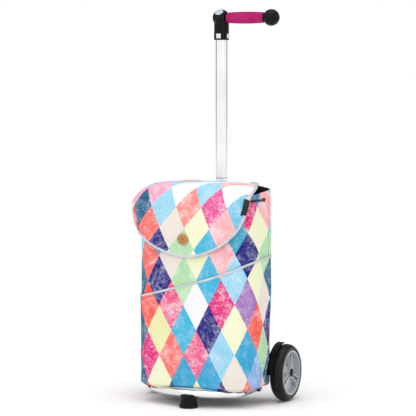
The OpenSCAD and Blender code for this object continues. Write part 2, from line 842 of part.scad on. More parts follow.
lower_tube();
upper_tube();
tube_joiner();
column_plug();
swivel_pin();
pin_collar();
head_housing();
head_bush();
thrust_washer();
head_badge();
index_windows();
latch_ring();
latch_spring();
grip_core();
grip_sleeve();
end_ball();
grip_bolt();
base_block();
base_screws();
axle_tube();
axle();
axle_washers();
axle_clips();
tyre(-1);  // left_tyre
tyre(1);  // right_tyre
rim(-1);  // left_rim
rim(1);  // right_rim
bearings(-1);  // left_bearings
bearings(1);  // right_bearings
spacer(-1);  // left_spacer
spacer(1);  // right_spacer
hub_cap(-1);  // left_hub_cap
hub_cap(1);  // right_hub_cap
guard(-1);  // left_guard
guard(1);  // right_guard
bracket(-1);  // left_bracket
bracket(1);  // right_bracket
hinge_pins();
tray_tube();
tray_end(-1);  // left_tray_end
tray_end(1);  // right_tray_end
foot_housing();
foot_pad();
foot_screw();
bag_shell();
base_board();
pocket_panel();
pocket_piping();
drawstring();
eyelets();
hanger_straps();
strap_snaps();
stud_post();
bag_flap();
flap_piping();
label_tab();
wood_button();
stud_cap();
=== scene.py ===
"""A one-handed shopping trolley: fabric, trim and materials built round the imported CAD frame.

Lengths are in metres in the row frame: +Z up, the bag faces -Y, the grip points to +X.
"""
import json
import math

import bpy
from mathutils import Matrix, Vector, noise


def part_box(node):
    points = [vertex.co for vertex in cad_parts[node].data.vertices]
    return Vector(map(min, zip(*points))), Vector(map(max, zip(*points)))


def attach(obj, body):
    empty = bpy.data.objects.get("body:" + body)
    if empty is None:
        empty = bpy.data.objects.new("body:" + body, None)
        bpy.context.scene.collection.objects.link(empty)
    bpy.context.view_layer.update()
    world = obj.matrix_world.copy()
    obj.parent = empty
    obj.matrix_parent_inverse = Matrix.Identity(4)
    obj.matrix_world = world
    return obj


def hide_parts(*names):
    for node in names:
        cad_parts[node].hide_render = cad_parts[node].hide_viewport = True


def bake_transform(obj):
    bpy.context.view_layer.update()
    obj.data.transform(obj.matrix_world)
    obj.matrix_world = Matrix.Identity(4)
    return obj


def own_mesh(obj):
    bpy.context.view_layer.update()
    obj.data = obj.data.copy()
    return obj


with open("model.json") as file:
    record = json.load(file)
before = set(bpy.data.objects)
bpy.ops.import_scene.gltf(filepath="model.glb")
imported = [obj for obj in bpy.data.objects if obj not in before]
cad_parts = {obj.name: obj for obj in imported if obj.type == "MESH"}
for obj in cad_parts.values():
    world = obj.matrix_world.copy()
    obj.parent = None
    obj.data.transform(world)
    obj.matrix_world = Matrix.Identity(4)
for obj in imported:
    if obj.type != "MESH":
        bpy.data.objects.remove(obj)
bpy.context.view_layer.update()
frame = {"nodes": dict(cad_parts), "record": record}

MM = 0.001
NODES = frame["nodes"]

# ---------- driving dimensions, from the frame ----------
COLUMN_LO, COLUMN_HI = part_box("lower_tube")
COLUMN_Y = (COLUMN_LO.y + COLUMN_HI.y) / 2
BAG_LO, BAG_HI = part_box("bag_shell")
FLAP_LO, FLAP_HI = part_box("flap_piping")
BUTTON_LO, BUTTON_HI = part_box("wood_button")
TRAY_LO, TRAY_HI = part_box("tray_tube")
CORD_LO, CORD_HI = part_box("drawstring")

BAG_CORNER_R = 45 * MM
BAG_HALF_W = (BAG_HI.x - BAG_LO.x) / 2
BAG_HALF_D = (BAG_HI.y - BAG_LO.y) / 2
BAG_MID_Y = (BAG_HI.y + BAG_LO.y) / 2
FRONT_HALF = BAG_HALF_W - BAG_CORNER_R
SIDE_LEN = 2 * (BAG_HALF_D - BAG_CORNER_R)
CORNER_LEN = BAG_CORNER_R * math.pi / 2
SIDE_START = FRONT_HALF + CORNER_LEN
SIDE_END = SIDE_START + SIDE_LEN
BACK_START = SIDE_END + CORNER_LEN
GIRTH_HALF = BACK_START + FRONT_HALF


# ---------- mesh helpers ----------
UP = Vector((0, 0, 1))


def millimetres(pairs):
    """Pairs written in millimetres, in metres."""
    return [(a * MM, b * MM) for a, b in pairs]


def unit(value):
    """The value, held between 0 and 1."""
    return min(1.0, max(0.0, value))


def smooth_step(value, low, high):
    t = unit((value - low) / (high - low))
    return t * t * (3 - 2 * t)


def add_object(name, data, place=(0, 0, 0), target=None):
    """An object in the scene, turned to face the target if there is one."""
    obj = bpy.data.objects.new(name, data)
    bpy.context.scene.collection.objects.link(obj)
    obj.location = place
    if target is not None:
        obj.rotation_mode = "QUATERNION"
        obj.rotation_quaternion = (target - obj.location).to_track_quat("-Z", "Y")
    return obj


def new_object(name, vertices, faces, uvs=None, smooth=True):
    """A mesh object. uvs holds one (u, v) per vertex."""
    mesh = bpy.data.meshes.new(name)
    mesh.from_pydata([tuple(v) for v in vertices], [], faces)
    mesh.validate()
    if uvs is not None:
        layer = mesh.uv_layers.new(name="print")
        for loop in mesh.loops:
            layer.data[loop.index].uv = uvs[loop.vertex_index]
    mesh.polygons.foreach_set("use_smooth", [smooth] * len(mesh.polygons))
    return add_object(name, mesh)


def surface_normal(point_at, a, b):
    """The normal at (a, b) of the surface that point_at(a, b) describes."""
    step = 1.5 * MM
    along_a = point_at(a + step, b) - point_at(a - step, b)
    along_b = point_at(a, b + step) - point_at(a, b - step)
    return along_a.cross(along_b).normalized()


def grid_faces(rows, columns, wrap=False):
    """Quads of a rows by columns grid of vertices, closed round the columns if wrap is set."""
    faces = []
    for i in range(rows - 1):
        for j in range(columns if wrap else columns - 1):
            k = (j + 1) % columns
            low, high = i * columns, (i + 1) * columns
            faces.append((low + j, low + k, high + k, high + j))
    return faces


def cloth_sheet(name, rows, columns, cloth, flip=False):
    """A sheet of cloth; cloth(a, b) gives the point and its place in the print at two shares, 0 to 1."""
    cells = [cloth(j / rows, i / columns) for j in range(rows + 1) for i in range(columns + 1)]
    faces = grid_faces(rows + 1, columns + 1)
    if flip:
        faces = [tuple(reversed(face)) for face in faces]
    return new_object(name, [point for point, _ in cells], faces, [uv for _, uv in cells])


def tube_faces(rings, sides):
    """Faces of a closed solid made of rings of vertices: its wall and its two ends."""
    faces = grid_faces(rings, sides, wrap=True)
    faces.append(tuple(reversed(range(sides))))
    faces.append(tuple(range((rings - 1) * sides, rings * sides)))
    return faces


def sweep(name, stations, profile):
    """A profile of (a, b) points swept along stations of (point, side, up)."""
    vertices, uvs, run = [], [], 0.0
    for i, (p, side, up) in enumerate(stations):
        run += (p - stations[i - 1][0]).length if i else 0.0
        vertices += [p + side * a + up * b for a, b in profile]
        uvs += [(run, j / len(profile)) for j in range(len(profile))]
    return new_object(name, vertices, tube_faces(len(stations), len(profile)), uvs)


def circle_profile(radius, sides):
    turns = [2 * math.pi * k / sides for k in range(sides)]
    return [(radius * math.cos(a), radius * math.sin(a)) for a in turns]


def band_profile(width, thickness, shift=0.0):
    """A flat band with rounded edges: width along side, thickness along up."""
    r = thickness / 2
    flat = width / 2 - r
    points = []
    for centre, start in ((flat, -90), (-flat, 90)):
        for k in range(5):
            a = math.radians(start + 45 * k)
            points.append((shift + centre + r * math.cos(a), r * math.sin(a)))
    return points


def route_stations(points, closed=False):
    """Stations along a level route."""
    stations = []
    count = len(points)
    for i, p in enumerate(points):
        before = points[i - 1] if closed or i else points[i]
        after = points[(i + 1) % count] if closed or i < count - 1 else points[i]
        along = (after - before).normalized()
        stations.append((p, along.cross(UP).normalized(), UP))
    return stations


def lathe(outline, centre, axis, sides):
    """Rings of vertices round an axis; outline is a list of (radius, height)."""
    turn = UP.rotation_difference(Vector(axis)).to_matrix()
    return [Vector(centre) + turn @ Vector((x, y, h))
            for r, h in outline for x, y in circle_profile(r, sides)]


def turned(name, outline, centre, axis, sides=64):
    """A solid of revolution, its outline running from axis end to axis end."""
    uvs = [(k / sides, r) for r, _ in outline for k in range(sides)]
    return new_object(name, lathe(outline, centre, axis, sides), tube_faces(len(outline), sides), uvs)


STITCH_PITCH = 4.2 * MM
STITCH_LENGTH = 2.8 * MM
STITCH_R = 0.38 * MM
STITCH_SIDES = 6
# shares of the length and of the radius
STITCH_RINGS = ((-0.5, 0.35), (-0.3, 1.0), (0.3, 1.0), (0.5, 0.35))


def stitches(name, points, normals):
    """A row of short raised stitches along a line of points on a surface."""
    vertices, faces = [], []
    stitch_faces = tube_faces(len(STITCH_RINGS), STITCH_SIDES)
    run, target = 0.0, STITCH_PITCH
    for i in range(1, len(points)):
        step = (points[i] - points[i - 1]).length
        while step > 0 and run + step >= target:
            t = (target - run) / step
            p = points[i - 1].lerp(points[i], t)
            up = normals[i - 1].lerp(normals[i], t).normalized()
            along = (points[i] - points[i - 1]).normalized()
            side = along.cross(up).normalized()
            base = len(vertices)
            for place, swell in STITCH_RINGS:
                for a, b in circle_profile(STITCH_R * swell, STITCH_SIDES):
                    vertices.append(p + along * (STITCH_LENGTH * place) + side * a + up * b)
            faces += [tuple(base + v for v in face) for face in stitch_faces]
            target += STITCH_PITCH
        run += step
    return new_object(name, vertices, faces)


def soft_edges(obj, width):
    """Rounds the sharp edges of a hard part."""
    bevel = obj.modifiers.new("edges", "BEVEL")
    bevel.width = width
    bevel.segments = 2
    bevel.limit_method = "ANGLE"
    bevel.angle_limit = math.radians(32)


def thicken(obj, thickness):
    """Gives a sheet its cloth's thickness, half to each side."""
    solid = obj.modifiers.new("cloth thickness", "SOLIDIFY")
    solid.thickness = thickness
    solid.offset = 0.0
    solid.use_even_offset = True
    return solid


# ---------- material helpers ----------
class Nodes:
    """Short calls that add shader nodes to a tree and link them."""

    def __init__(self, tree):
        self.tree = tree

    def feed(self, socket, value):
        if isinstance(value, bpy.types.NodeSocket):
            self.tree.links.new(value, socket)
        elif value is not None:
            socket.default_value = value

    def fill(self, node, **values):
        """Feeds a node's inputs by label, with _ for a space; gives its first output."""
        for label, value in values.items():
            self.feed(node.inputs[label.replace("_", " ")], value)
        return node.outputs[0]

    def add(self, kind, **settings):
        node = self.tree.nodes.new("ShaderNode" + kind)
        for key, value in settings.items():
            setattr(node, key, value)
        return node

    def math(self, operation, a, b=None):
        node = self.add("Math", operation=operation)
        self.feed(node.inputs[0], a)
        self.feed(node.inputs[1], b)
        return node.outputs[0]

    def near(self, value, target, reach):
        """1 where the value is within reach of the target, and 0 elsewhere."""
        same = self.math("COMPARE", value, target)
        same.node.inputs[2].default_value = reach
        return same

    def remap(self, value, low, high, to_low=0.0, to_high=1.0, smooth=False):
        node = self.add("MapRange", interpolation_type="SMOOTHSTEP" if smooth else "LINEAR")
        return self.fill(node, Value=value, From_Min=low, From_Max=high, To_Min=to_low, To_Max=to_high)


class Paint(Nodes):
    """A material in the making."""

    def __init__(self, name, **sockets):
        self.material = bpy.data.materials.new(name)
        self.material.use_nodes = True
        super().__init__(self.material.node_tree)
        self.shader = self.tree.nodes["Principled BSDF"]
        self.fill(self.shader, **sockets)

    def noise(self, vector, scale, detail=4.0, roughness=0.5, distortion=0.0):
        return self.fill(self.add("TexNoise"), Vector=vector, Scale=scale, Detail=detail,
                         Roughness=roughness, Distortion=distortion)

    def mix(self, factor, a, b, blend="MIX"):
        node = self.add("Mix", data_type="RGBA", blend_type=blend)
        self.feed(node.inputs[0], factor)
        self.feed(node.inputs[6], a)
        self.feed(node.inputs[7], b)
        return node.outputs[2]

    def place(self, stretch=(1, 1, 1)):
        """Object coordinates, stretched along each axis."""
        return self.fill(self.add("Mapping"), Scale=stretch, Vector=self.add("TexCoord").outputs["Object"])

    def print_map(self):
        """The 'print' UV map, and its two coordinates apart."""
        uv = self.add("UVMap", uv_map="print").outputs[0]
        split = self.add("SeparateXYZ")
        self.feed(split.inputs[0], uv)
        return uv, split.outputs[0], split.outputs[1]

    def ridges(self, along, pitch):
        """A wave that rises and falls once in two pitches."""
        return self.math("SINE", self.math("MULTIPLY", along, math.pi / pitch))

    def colour(self, value):
        self.fill(self.shader, Base_Color=value)

    def roughness(self, value):
        self.fill(self.shader, Roughness=value)

    def bump(self, height, strength, distance):
        normal = self.fill(self.add("Bump"), Strength=strength, Distance=distance, Height=height)
        self.fill(self.shader, Normal=normal)


def rgb(code):
    """A linear colour from a six-digit screen colour."""
    parts = [int(code[k:k + 2], 16) / 255 for k in (0, 2, 4)]
    return tuple(p / 12.92 if p <= 0.04045 else ((p + 0.055) / 1.055) ** 2.4 for p in parts) + (1.0,)


def mottled(name, dark, light, scale, bump, rough, **sockets):
    """A plain material whose colour and roughness wander a little, with a fine grain."""
    paint = Paint(name, **sockets)
    where = paint.place()
    broad = paint.noise(where, scale, 5, 0.6)
    fine = paint.noise(where, scale * 14, 3, 0.6)
    paint.colour(paint.mix(paint.remap(broad, 0.3, 0.7), rgb(dark), rgb(light)))
    paint.roughness(paint.remap(fine, 0.3, 0.7, *rough))
    if bump:
        paint.bump(fine, 0.35, bump)
    return paint.material


# ---------- the diamond print ----------
DIAMOND_W = 69.5 * MM
DIAMOND_H = 127.2 * MM
JUNCTION_X = 18.75 * MM
JUNCTION_Z = 69 * MM
PRINT_SLOPE = 0.054   # the rows climb a little to the right
REACH = 14            # columns of diamonds to each side of the junction column
WEAVE_PITCH = 0.9 * MM

# One letter is one colour; the number is how strongly it is clouded with white, from 0 to 1.
COLOURS = {
    "T": ("1a668a", 0.45), "N": ("24207e", 0.50), "B": ("38a6d2", 0.25), "S": ("47b8de", 0.30),
    "Q": ("35a9c8", 0.45), "L": ("9ad4ec", 0.45), "U": ("4f8fb5", 0.25), "A": ("8cb4e2", 0.55),
    "y": ("f0f2cb", 0.35), "O": ("eae8ae", 0.30), "e": ("eae0d6", 0.25), "C": ("f5736c", 0.65),
    "R": ("f95d4c", 0.50), "H": ("e22c80", 0.75), "M": ("ee5f8c", 1.00), "P": ("fbb3b8", 0.85),
    "c": ("f79088", 0.80), "h": ("e8559a", 0.90), "q": ("74c4e2", 0.80), "m": ("f5a0be", 0.80),
    # W and w, near-whites, are mostly painted light: they fill the flap's top rows, which stand in for the
    # top washed out by light from above.
    "G": ("b4dfb0", 0.50), "V": ("a475bb", 0.45), "W": ("f2f1f7", 0.30), "w": ("fbfbfd", 0.10),
}

# Rows of diamonds from the bottom up; each holds every second column from the left end of the girth.
BAG_ROWS = {
    -1: "yHTNRTyNCPHBV",
    0: "BVyCTyBBeATPGR",
    1: "GNeRHCMLBGPTy",
    2: "SCHyTOSNyRNHBV",
    3: "yTVSRMWHVeSCN",
    4: "HBGRTNGSLyTPOT",
    5: "VCNyCeyPNGRBy",
    6: "SOHTLSCHQyLGMT",
    7: "NRLeTLSHHPHyB",
    8: "yGCUMyeHPULTSR",
    9: "BTHPyLCSUNLeG",
}
# The flap's rows: from row 3 up they turn more and more to pale pinks, pale blues and near-whites (m, P, L,
# W, w). This is painted light: the top of the flap washed out by the light from above.
FLAP_ROWS_WITH_PAINTED_LIGHT = {
    -1: "yHTNCeySCeLRT",
    0: "BVyCTNGSLyTPGR",
    1: "GNeRCeyPNGPTy",
    2: "SCHyTLchqHNHBV",
    3: "yTVmmWLwPPLCN",
    4: "HBGRALWPWPWPGT",
    5: "wWLwPLwPWLwWw",
    6: "wWLwPwWLwPwWLw",
    7: "wWLwPwwWwPwWL",
}


def diamond_print(paint, x, y, rows):
    """(colour, cloud strength) of the print at x and y metres of cloth."""
    across = paint.math("DIVIDE", paint.math("SUBTRACT", x, JUNCTION_X), DIAMOND_W)
    climb = paint.math("MULTIPLY", x, PRINT_SLOPE)
    up = paint.math("SUBTRACT", y, paint.math("ADD", climb, JUNCTION_Z))
    up = paint.math("DIVIDE", up, DIAMOND_H)
    rising = paint.math("FLOOR", paint.math("ADD", across, up))
    falling = paint.math("FLOOR", paint.math("SUBTRACT", across, up))
    row = paint.math("SUBTRACT", rising, falling)
    column = paint.math("ADD", paint.math("ADD", rising, falling), 1.0)
    place = paint.math("DIVIDE", paint.math("ADD", column, float(REACH)), 2.0 * REACH)
    colour, strength = rgb("ffffff"), 0.0
    for number, letters in rows.items():
        ramp = paint.add("ValToRGB")
        ramp.color_ramp.interpolation = "CONSTANT"
        stops = ramp.color_ramp.elements
        half_cell = 0.0 if len(letters) == REACH else 0.5
        for k, letter in enumerate(letters):
            at = (k + half_cell) / REACH if k else 0.0
            stop = stops[k] if k < 2 else stops.new(at)
            stop.position = at
            stop.color = rgb(COLOURS[letter][0])[:3] + (COLOURS[letter][1],)
        paint.feed(ramp.inputs[0], place)
        here = paint.near(row, float(number), 0.5)
        colour = paint.mix(here, colour, ramp.outputs[0])
        strength = paint.math("ADD", strength, paint.math("MULTIPLY", here, ramp.outputs[1]))
    return colour, strength


def printed_cloth(name, rows):
    """Polyester with a watercolour diamond print: clouds and flecks of white, and a fine plain weave."""
    paint = Paint(name, Roughness=0.7, Specular_IOR_Level=0.15, Sheen_Weight=0.04, Sheen_Roughness=0.5)
    uv, x, y = paint.print_map()
    colour, strength = diamond_print(paint, x, y, rows)
    clouds = paint.noise(uv, 24.0, 8.0, 0.72, 0.8)
    flecks = paint.noise(uv, 95.0, 6.0, 0.78, 1.6)
    streaks = paint.noise(uv, 48.0, 8.0, 0.80, 2.4)
    patches = paint.remap(clouds, 0.44, 0.62, 0.0, 1.0, True)
    grains = paint.math("ADD", paint.remap(flecks, 0.47, 0.60, 0.0, 0.85, True), 0.22)
    veil = paint.math("ADD", paint.math("MULTIPLY", patches, grains),
                      paint.remap(streaks, 0.53, 0.60, 0.0, 0.45, True))
    white = paint.math("MINIMUM", paint.math("MULTIPLY", veil, strength), 0.92)
    dark = paint.mix(paint.remap(clouds, 0.30, 0.50, 0.22, 0.0, True), colour, colour, "MULTIPLY")
    paint.colour(paint.mix(white, dark, rgb("f4f1f5")))
    weave = paint.math("MULTIPLY", paint.ridges(x, WEAVE_PITCH), paint.ridges(y, WEAVE_PITCH))
    paint.bump(paint.math("ABSOLUTE", weave), 0.25, 0.12 * MM)
    return paint.material


def threads(name, dark, light, pitch):
    """Woven or braided trim: crossing threads from object coordinates, with painted shade where the threads
    lie low.
    """
    paint = Paint(name, Roughness=0.8, Sheen_Weight=0.06)
    where = paint.place()
    waves = []
    for direction in ("DIAGONAL", "Z"):
        wave = paint.add("TexWave", wave_type="BANDS", bands_direction=direction)
        paint.fill(wave, Vector=where, Scale=0.5 / pitch, Distortion=0.6)
        waves.append(wave.outputs[1])
    height = paint.math("MULTIPLY", *waves)
    tone = paint.noise(where, 60.0, 4.0, 0.6)
    # partly painted shade, darker where the threads lie low, and partly a random tone
    weave_shade_and_tone = paint.math("MULTIPLY", paint.math("ADD", height, tone), 0.5)
    paint.colour(paint.mix(paint.remap(weave_shade_and_tone, 0.2, 0.75), rgb(dark), rgb(light)))
    paint.bump(height, 0.5, 0.15 * MM)
    return paint.material


def brushed(name, dark, light, rough, stretch=(1, 1, 1)):
    """Metal with fine streaks drawn out along one axis."""
    paint = Paint(name, Metallic=1.0)
    streaks = paint.noise(paint.place(stretch), 260.0, 5.0, 0.6)
    broad = paint.noise(paint.place(), 9.0, 3.0)
    paint.colour(paint.mix(paint.remap(broad, 0.3, 0.7), rgb(dark), rgb(light)))
    paint.roughness(paint.remap(streaks, 0.3, 0.7, *rough))
    paint.bump(streaks, 0.05, 0.01 * MM)
    return paint.material


def wood():
    """Light waxed wood with growth rings running across the button, and a burnt ring and dot."""
    paint = Paint("waxed wood", Roughness=0.45, Coat_Weight=0.15, Coat_Roughness=0.3)
    rings = paint.add("TexWave", wave_type="BANDS", bands_direction="X")
    paint.fill(rings, Vector=paint.place((1.0, 1.0, 0.22)), Scale=170.0, Distortion=5.0, Detail=3.0,
               Detail_Scale=1.4)
    pores = paint.noise(paint.place((1.0, 1.0, 0.12)), 900.0, 3.0, 0.7)
    grain = paint.mix(rings.outputs[1], rgb("b27a3c"), rgb("cd985a"))
    grain = paint.mix(paint.remap(pores, 0.60, 0.75, 0.0, 0.5), grain, rgb("8a5526"))
    _, _, radius = paint.print_map()
    ring, dot = paint.near(radius, 7.6 * MM, 0.8 * MM), paint.math("LESS_THAN", radius, 3.0 * MM)
    burnt = paint.math("ADD", ring, dot)
    paint.colour(paint.mix(paint.math("MULTIPLY", burnt, 0.85), grain, rgb("3a2413")))
    paint.bump(rings.outputs[1], 0.2, 0.15 * MM)
    return paint.material


def piping_cloth():
    """Silver-grey binding tape with a fine cross rib, and painted shade in the hollows between the ribs."""
    paint = Paint("silver binding", Roughness=0.45, Metallic=0.15, Sheen_Weight=0.1)
    _, along, _ = paint.print_map()
    ribs = paint.math("ABSOLUTE", paint.ridges(along, 1.1 * MM))
    tone = paint.noise(paint.place(), 70.0, 4.0, 0.6)
    base = paint.mix(paint.remap(tone, 0.3, 0.7), rgb("bcc3cb"), rgb("dde2e7"))
    # painted shade: the colour darkens towards grey 8d949c in the hollows between the ribs
    paint.colour(paint.mix(paint.remap(ribs, 0.0, 1.0, 0.25, 0.0), base, rgb("8d949c")))
    paint.bump(ribs, 0.4, 0.12 * MM)
    return paint.material


def metals():
    along_z = (1.0, 1.0, 0.02)
    along_x = (0.02, 1.0, 1.0)
    return {
        "column_aluminium": brushed("satin aluminium", "eaebed", "f8f8f9", (0.15, 0.22), along_z),
        "cross_aluminium": brushed("satin aluminium across", "e2e3e5", "f3f3f4", (0.20, 0.30), along_x),
        "joiner_aluminium": brushed("grey aluminium", "8e9298", "a7abb0", (0.30, 0.42), along_z),
        "steel": brushed("zinc plated steel", "a2a6ab", "c3c6ca", (0.25, 0.4)),
        "eyelet_metal": mottled("black lacquered metal", "26262a", "3c3c42", 40, 0.0, (0.25, 0.35),
                                Metallic=0.8),
    }


def plastics():
    return {
        "black_plastic": mottled("black moulded plastic", "08080a", "101012", 18, 0.01 * MM, (0.20, 0.30),
                                 Specular_IOR_Level=0.14),
        "nylon": mottled("natural nylon", "d8d6cf", "efeee9", 25, 0.03 * MM, (0.45, 0.55)),
        "badge_plastic": mottled("badge plastic", "a9b6c8", "c9d3e0", 40, 0.0, (0.15, 0.22),
                                 Coat_Weight=0.3),
        "light_plastic": mottled("light plastic", "d2d3d4", "ededee", 40, 0.03 * MM, (0.4, 0.5)),
        "grip_rubber": mottled("magenta rubber", "a70c60", "bd1a72", 30, 0.06 * MM, (0.42, 0.55),
                               Specular_IOR_Level=0.2),
        "tyre": mottled("tyre rubber", "0b0b0c", "151517", 45, 0.08 * MM, (0.26, 0.42),
                        Specular_IOR_Level=0.2),
        "rim_plastic": mottled("silver moulded plastic", "b2b6bb", "c9ccd0", 6, 0.0, (0.33, 0.37),
                               Metallic=0.45, Specular_IOR_Level=0.6),
        "foot_rubber": mottled("foot rubber", "0a0a0b", "141416", 40, 0.05 * MM, (0.45, 0.6),
                               Specular_IOR_Level=0.15),
        "board": mottled("base board", "3a332c", "4c443b", 30, 0.1 * MM, (0.6, 0.8)),
    }


def fabrics():
    return {
        "bag_print": printed_cloth("diamond print", BAG_ROWS),
        # the flap's print has its upper rows painted pale: painted light from above
        "flap_print": printed_cloth("diamond print on the flap, top paled by painted light", FLAP_ROWS_WITH_PAINTED_LIGHT),
        "lining": threads("black lining", "08080a", "151519", 1.2 * MM),
        "piping": piping_cloth(),
        "cord": threads("black braid", "060607", "141417", 1.6 * MM),
        "webbing": threads("black webbing", "0c0c0e", "1f1f23", 1.5 * MM),
        "label": threads("black woven label", "0c0c0e", "2a2a30", 0.9 * MM),
        "thread": threads("grey thread", "c9ccd2", "f0f1f4", 0.7 * MM),
    }


MATERIALS = {**metals(), **plastics(), **fabrics(), "button_wood": wood()}
NODE_SLOTS = {s["node"]: s["material_slot"] for s in frame["record"]["subparts"]}
NODE_FINISHES = {**NODE_SLOTS, "axle_tube": "cross_aluminium"}
# finishes that the record doesn't name, and its slots that they belong to
EDGE_WIDTHS_MM = {
    0.9: ("left_tyre", "right_tyre"),
    0.8: ("base_block", "left_bracket", "right_bracket", "foot_housing"),
    0.7: ("head_housing", "left_guard", "right_guard"),
    0.6: ("foot_pad",),
    0.5: ("left_rim", "right_rim", "left_hub_cap", "right_hub_cap", "left_tray_end", "right_tray_end",
          "hanger_straps", "strap_snaps"),
    0.4: ("index_windows", "latch_ring", "base_screws", "hinge_pins"),
    0.35: ("grip_sleeve",),
    0.3: ("tube_joiner", "upper_tube"),
}
# Pieces on these bodies get a mesh of their own. The numbers are meant as the shares of their depth that the
# empty bag, with all sewn to it, and the flap keep when the tray folds up and presses them flat against the
# column, the flap staying in front; nothing here reads them.
DEPTH_KEPT = {"frame": 0.12, "flap": 0.17}


def dress(obj, body, *finishes, node=None):
    """A new piece's materials, slot and body, and the CAD node that it stands for.

    A piece given no body is left unattached. A piece that bends across a joint has no
    one body.
    """
    for finish in finishes:
        obj.data.materials.append(MATERIALS[finish])
    if body:
        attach(obj, body)
    if node:
        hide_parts(node)
    if body in DEPTH_KEPT:
        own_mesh(obj)
    return obj


def paint_cad_nodes():
    """Every CAD node keeps its shape and gets its finish, with softened edges on the hard ones."""
    for name, obj in NODES.items():
        obj.data.materials.clear()
        obj.data.materials.append(MATERIALS[NODE_FINISHES[name]])
    for width, names in EDGE_WIDTHS_MM.items():
        for name in names:
            soft_edges(NODES[name], width * MM)


# ---------- the bag ----------
RIM_DROP = 3 * MM            # the rim's highest point is this far below the CAD bag's top
RIM_SLOPE = 0.10
RIM_SAG = 6 * MM
PULL_DOWN = 14 * MM          # how the drawstring shifts, stretches and leans the print at the right corner
PULL_ROUND = 0.28
PULL_START = 150 * MM
PULL_LEAN = 0.14
PULL_Z = 447 * MM


def plan_point(s, grow=0.0):
    """(point, outward normal) in plan, s metres round the girth from the front's middle, +s to the right."""
    run = abs(s)
    turn = math.pi / 2 * (unit((run - FRONT_HALF) / CORNER_LEN) + unit((run - SIDE_END) / CORNER_LEN) - 1)
    x = min(run, FRONT_HALF, GIRTH_HALF - run)
    y = BAG_MID_Y + SIDE_LEN * (unit((run - SIDE_START) / SIDE_LEN) - 0.5)
    radius = BAG_CORNER_R + grow
    point = Vector((x + radius * math.cos(turn), y + radius * math.sin(turn), 0))
    normal = Vector((math.cos(turn), math.sin(turn), 0))
    if s < 0:
        point.x, normal.x = -point.x, -normal.x
    return point, normal


def wander(s, z, scale, seed):
    """Smooth noise over the cloth, the same each run and without a seam at the back."""
    p, _ = plan_point(s)
    return noise.noise(Vector((p.x * scale, p.y * scale, z * scale * 0.7 + seed)))


def cloth_offset(s, z):
    """How far the bag's cloth stands off its plain prism: a soft crown on each panel, folds and creases."""
    height = (z - BAG_LO.z) / (BAG_HI.z - BAG_LO.z)
    run = abs(s)
    rise = math.sin(math.pi * unit(height))
    front = max(0.0, math.cos(math.pi / 2 * min(1.0, run / SIDE_START)))
    flank = max(0.0, 1 - abs(run - (SIDE_START + SIDE_END) / 2) / (90 * MM))
    crown = 4.0 * rise * front + 2.0 * rise * flank
    low = 1 - smooth_step(height, 0.05, 0.35)
    broad = 1.9 * wander(s, z, 11.0, 3.1) + 1.1 * wander(s, z, 24.0, 8.4)
    crease = 1 - abs(wander(s, z * 0.45, 30.0, 15.2)) * 2.2
    folds = 1.3 * max(0.0, crease - 0.45) * (0.35 + low)
    top_pinch = -2.0 * smooth_step(height, 0.86, 1.0) * (0.5 + 0.5 * math.cos(run * 40.0))
    offset = crown + broad * (0.5 + 0.5 * rise) + folds + top_pinch
    behind = smooth_step(run, SIDE_END, BACK_START)
    corner = (run - FRONT_HALF - CORNER_LEN / 2) / (52 * MM)
    rounding = -6.5 * max(0.0, 1 - corner ** 2) ** 1.5
    back_corner = max(0.0, 1 - ((run - SIDE_END) / (45 * MM)) ** 2)
    swell = 4.0 * back_corner * smooth_step(height, 0.25, 0.5)
    return ((offset + rounding) * (1 - behind) - 1.5 * behind + swell) * MM


def rim_height(s):
    """The rim sags from the middle of the back to its corners, and then slopes down to the front."""
    p, _ = plan_point(s)
    depth = BAG_HI.y - p.y
    behind = 1 - smooth_step(depth, 0, 30 * MM)
    corner = smooth_step(abs(p.x), 70 * MM, 150 * MM)
    return BAG_HI.z - RIM_DROP - RIM_SLOPE * depth - RIM_SAG * (corner * behind + (1 - behind))


def bottom_sag(s, z):
    """The bottom hem dips between the tray's arms and lifts a little at the corners."""
    low = 1 - smooth_step(z, BAG_LO.z, BAG_LO.z + 90 * MM)
    return low * 1.2 * MM * (math.cos(s * 26.0) - 1)


def bag_point(s, z, lift=0.0):
    """A point on the bag's outer cloth, lift metres above it."""
    p, normal = plan_point(s)
    point = p + normal * (cloth_offset(s, z) + lift)
    point.z = z + bottom_sag(s, z)
    return point


def bag_normal(s, z):
    return surface_normal(bag_point, s, z)


def print_place(s, z):
    """Where a point of the bag lies in the print: the cord pulls it down and round at the right corner."""
    pull = smooth_step(s, FRONT_HALF - 10 * MM, SIDE_START - 10 * MM) * smooth_step(z, 0.34, 0.45)
    pull *= smooth_step(BACK_START - s, 0.0, 60 * MM)
    drift = PULL_ROUND * max(0.0, s - PULL_START) - PULL_LEAN * (z - PULL_Z)
    return s - pull * drift, z + PULL_DOWN * pull


def girth_steps(count):
    return [-GIRTH_HALF + 2 * GIRTH_HALF * k / count for k in range(count)]


